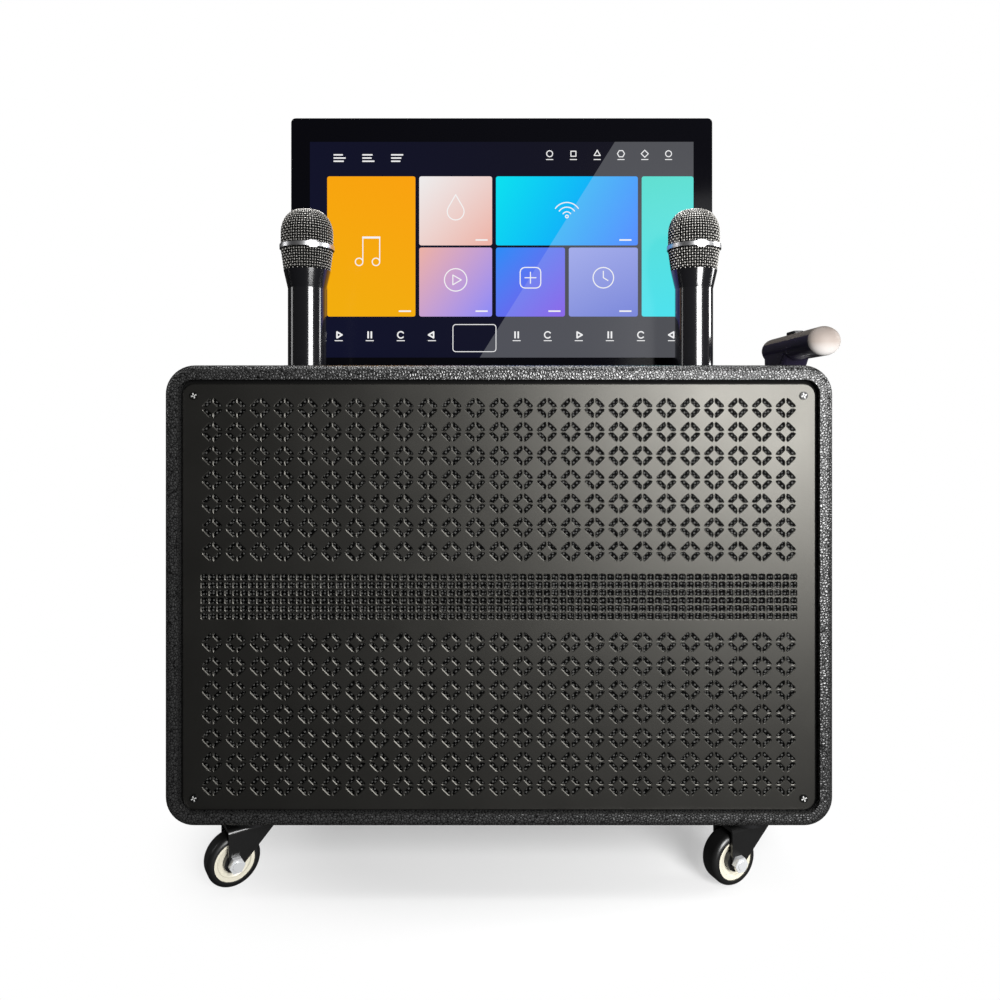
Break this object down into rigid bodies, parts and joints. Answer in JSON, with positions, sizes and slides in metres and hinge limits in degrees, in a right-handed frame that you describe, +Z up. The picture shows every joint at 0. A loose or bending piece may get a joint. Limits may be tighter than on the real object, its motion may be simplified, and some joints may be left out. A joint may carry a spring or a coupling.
{
  "type": "karaoke machine",
  "caption": "Trolley karaoke speaker: leatherette box on swivel casters, perforated front, lift-up touch screen, upright microphones in cups and telescopic pull handle at the side.",
  "frame": {"origin": "on the floor under the middle of the box", "axes": "+X right as seen from the front, +Y to the back, +Z up"},
  "size_m": [0.6281, 0.24, 0.7503],
  "materials": {
    "cabinet_shell": "black pebbled leatherette over board",
    "front_grille": "satin black perforated sheet",
    "grille_cloth": "woven dust cloth",
    "front_baffle": "black stained fibreboard",
    "woofer_frames": "black pressed steel with magnet",
    "woofer_cones": "black paper cone and rubber roll",
    "tweeters": "moulded tweeter",
    "rear_panel": "black laminated board",
    "control_tray": "fine textured black paint",
    "potentiometers": "rotary controls",
    "music_volume_knob": "soft black knob",
    "echo_knob": "soft black knob",
    "mic_volume_knob": "soft black knob",
    "power_rocker": "red rocker",
    "switch_cradle": "switch body",
    "mains_inlet": "moulded inlet",
    "rear_sockets": "jack sockets",
    "amplifier_board": "heat sink and amplifier",
    "player_board": "circuit board",
    "hard_disk": "cast disk case",
    "power_supply": "folded sheet case",
    "battery_pack": "sealed battery",
    "panel_screws": "blackened pan heads",
    "mic_cups": "moulded cups",
    "screen_glass": "black backed touch glass",
    "screen_housing": "moulded back",
    "display_panel": "display module",
    "screen_carriage": "lift carriage",
    "screen_rails": "folded rails",
    "slot_trim": "moulded trim",
    "handle_outer_tube": "black tube",
    "handle_middle_tube": "drawn tube with collar",
    "handle_inner_tube": "drawn tube",
    "handle_brackets": "moulded brackets",
    "handle_grip": "satin grip",
    "handle_end_caps": "pearl champagne cap",
    "release_button": "push button",
    "caster_plates": "blackened plates",
    "caster_screws": "plate screws",
    "front_left_fork": "black pressed fork with bolt",
    "front_left_hub": "cream moulded hub",
    "front_left_tyre": "black tyre",
    "front_right_fork": "black pressed fork with bolt",
    "front_right_hub": "cream moulded hub",
    "front_right_tyre": "black tyre",
    "rear_left_fork": "black pressed fork with bolt",
    "rear_left_hub": "cream moulded hub",
    "rear_left_tyre": "black tyre",
    "rear_right_fork": "black pressed fork with bolt",
    "rear_right_hub": "cream moulded hub",
    "rear_right_tyre": "black tyre",
    "left_mic_handle": "gloss black handle",
    "left_mic_grille": "woven black wire",
    "left_mic_band": "bright ring",
    "left_mic_switch": "slide switch",
    "right_mic_handle": "gloss black handle",
    "right_mic_grille": "woven black wire",
    "right_mic_band": "bright ring",
    "right_mic_switch": "slide switch"
  },
  "bodies": {
    "cabinet": {"cabinet_shell": "cabinet_shell", "front_grille": "front_grille", "grille_cloth": "grille_cloth", "front_baffle": "front_baffle", "woofer_frames": "woofer_frames", "woofer_cones": "woofer_cones", "tweeters": "tweeters", "rear_panel": "rear_panel", "control_tray": "control_tray", "potentiometers": "potentiometers", "switch_cradle": "switch_cradle", "mains_inlet": "mains_inlet", "rear_sockets": "rear_sockets", "amplifier_board": "amplifier_board", "player_board": "player_board", "hard_disk": "hard_disk", "power_supply": "power_supply", "battery_pack": "battery_pack", "panel_screws": "panel_screws", "mic_cups": "mic_cups", "screen_rails": "screen_rails", "slot_trim": "slot_trim", "handle_outer_tube": "handle_outer_tube", "handle_brackets": "handle_brackets", "caster_plates": "caster_plates", "caster_screws": "caster_screws"},
    "screen": {"screen_glass": "screen_glass", "screen_housing": "screen_housing", "display_panel": "display_panel", "screen_carriage": "screen_carriage"},
    "handle_middle": {"handle_middle_tube": "handle_middle_tube"},
    "handle_top": {"handle_inner_tube": "handle_inner_tube", "handle_grip": "handle_grip", "handle_end_caps": "handle_end_caps"},
    "release_button": {"release_button": "release_button"},
    "power_rocker": {"power_rocker": "power_rocker"},
    "music_volume_knob": {"music_volume_knob": "music_volume_knob"},
    "echo_knob": {"echo_knob": "echo_knob"},
    "mic_volume_knob": {"mic_volume_knob": "mic_volume_knob"},
    "left_mic": {"left_mic_handle": "left_mic_handle", "left_mic_grille": "left_mic_grille", "left_mic_band": "left_mic_band"},
    "left_mic_switch": {"left_mic_switch": "left_mic_switch"},
    "right_mic": {"right_mic_handle": "right_mic_handle", "right_mic_grille": "right_mic_grille", "right_mic_band": "right_mic_band"},
    "right_mic_switch": {"right_mic_switch": "right_mic_switch"},
    "front_left_caster": {"front_left_fork": "front_left_fork"},
    "front_left_wheel": {"front_left_hub": "front_left_hub", "front_left_tyre": "front_left_tyre"},
    "front_right_caster": {"front_right_fork": "front_right_fork"},
    "front_right_wheel": {"front_right_hub": "front_right_hub", "front_right_tyre": "front_right_tyre"},
    "rear_left_caster": {"rear_left_fork": "rear_left_fork"},
    "rear_left_wheel": {"rear_left_hub": "rear_left_hub", "rear_left_tyre": "rear_left_tyre"},
    "rear_right_caster": {"rear_right_fork": "rear_right_fork"},
    "rear_right_wheel": {"rear_right_hub": "rear_right_hub", "rear_right_tyre": "rear_right_tyre"}
  },
  "joints": [
    {"name": "screen_lift", "type": "slide", "parent": "cabinet", "child": "screen", "axis": [0, 0, 1], "range_m": [-0.268, 0]},
    {"name": "handle_first_stage", "type": "slide", "parent": "cabinet", "child": "handle_middle", "axis": [0, 0, 1], "range_m": [0, 0.28]},
    {"name": "handle_second_stage", "type": "slide", "parent": "handle_middle", "child": "handle_top", "axis": [0, 0, 1], "range_m": [0, 0.28]},
    {"name": "release_button_press", "type": "slide", "parent": "handle_top", "child": "release_button", "axis": [0, 0, 1], "range_m": [-0.0025, 0], "stiffness_N_per_m": 400},
    {"name": "power_rocker_tilt", "type": "hinge", "parent": "cabinet", "child": "power_rocker", "pos_m": [-0.118, 0.0895, 0.264], "axis": [0, 0, 1], "range_deg": [0, 16]},
    {"name": "music_volume_turn", "type": "hinge", "parent": "cabinet", "child": "music_volume_knob", "pos_m": [0.11, 0.094, 0.264], "axis": [0, 1, 0], "range_deg": [-150, 150]},
    {"name": "echo_turn", "type": "hinge", "parent": "cabinet", "child": "echo_knob", "pos_m": [0.072, 0.094, 0.264], "axis": [0, 1, 0], "range_deg": [-150, 150]},
    {"name": "mic_volume_turn", "type": "hinge", "parent": "cabinet", "child": "mic_volume_knob", "pos_m": [0.034, 0.094, 0.264], "axis": [0, 1, 0], "range_deg": [-150, 150]},
    {"name": "left_mic_lift", "type": "slide", "parent": "cabinet", "child": "left_mic", "axis": [0, 0, 1], "range_m": [0, 0.13]},
    {"name": "left_mic_switch_slide", "type": "slide", "parent": "left_mic", "child": "left_mic_switch", "axis": [0, 0, 1], "range_m": [0, 0.004]},
    {"name": "right_mic_lift", "type": "slide", "parent": "cabinet", "child": "right_mic", "axis": [0, 0, 1], "range_m": [0, 0.13]},
    {"name": "right_mic_switch_slide", "type": "slide", "parent": "right_mic", "child": "right_mic_switch", "axis": [0, 0, 1], "range_m": [0, 0.004]},
    {"name": "front_left_swivel", "type": "hinge", "parent": "cabinet", "child": "front_left_caster", "pos_m": [-0.2315, -0.0815, 0.055], "axis": [0, 0, 1], "continuous": true},
    {"name": "front_left_roll", "type": "hinge", "parent": "front_left_caster", "child": "front_left_wheel", "pos_m": [-0.24808, -0.09268, 0.024], "axis": [-0.5592, 0.829, 0], "continuous": true},
    {"name": "front_right_swivel", "type": "hinge", "parent": "cabinet", "child": "front_right_caster", "pos_m": [0.2315, -0.0815, 0.055], "axis": [0, 0, 1], "continuous": true},
    {"name": "front_right_roll", "type": "hinge", "parent": "front_right_caster", "child": "front_right_wheel", "pos_m": [0.21323, -0.08964, 0.024], "axis": [-0.4067, 0.9135, 0], "continuous": true},
    {"name": "rear_left_swivel", "type": "hinge", "parent": "cabinet", "child": "rear_left_caster", "pos_m": [-0.2315, 0.0815, 0.055], "axis": [0, 0, 1], "continuous": true},
    {"name": "rear_left_roll", "type": "hinge", "parent": "rear_left_caster", "child": "rear_left_wheel", "pos_m": [-0.24808, 0.07032, 0.024], "axis": [-0.5592, 0.829, 0], "continuous": true},
    {"name": "rear_right_swivel", "type": "hinge", "parent": "cabinet", "child": "rear_right_caster", "pos_m": [0.2315, 0.0815, 0.055], "axis": [0, 0, 1], "continuous": true},
    {"name": "rear_right_roll", "type": "hinge", "parent": "rear_right_caster", "child": "rear_right_wheel", "pos_m": [0.21323, 0.07336, 0.024], "axis": [-0.4067, 0.9135, 0], "continuous": true}
  ]
}
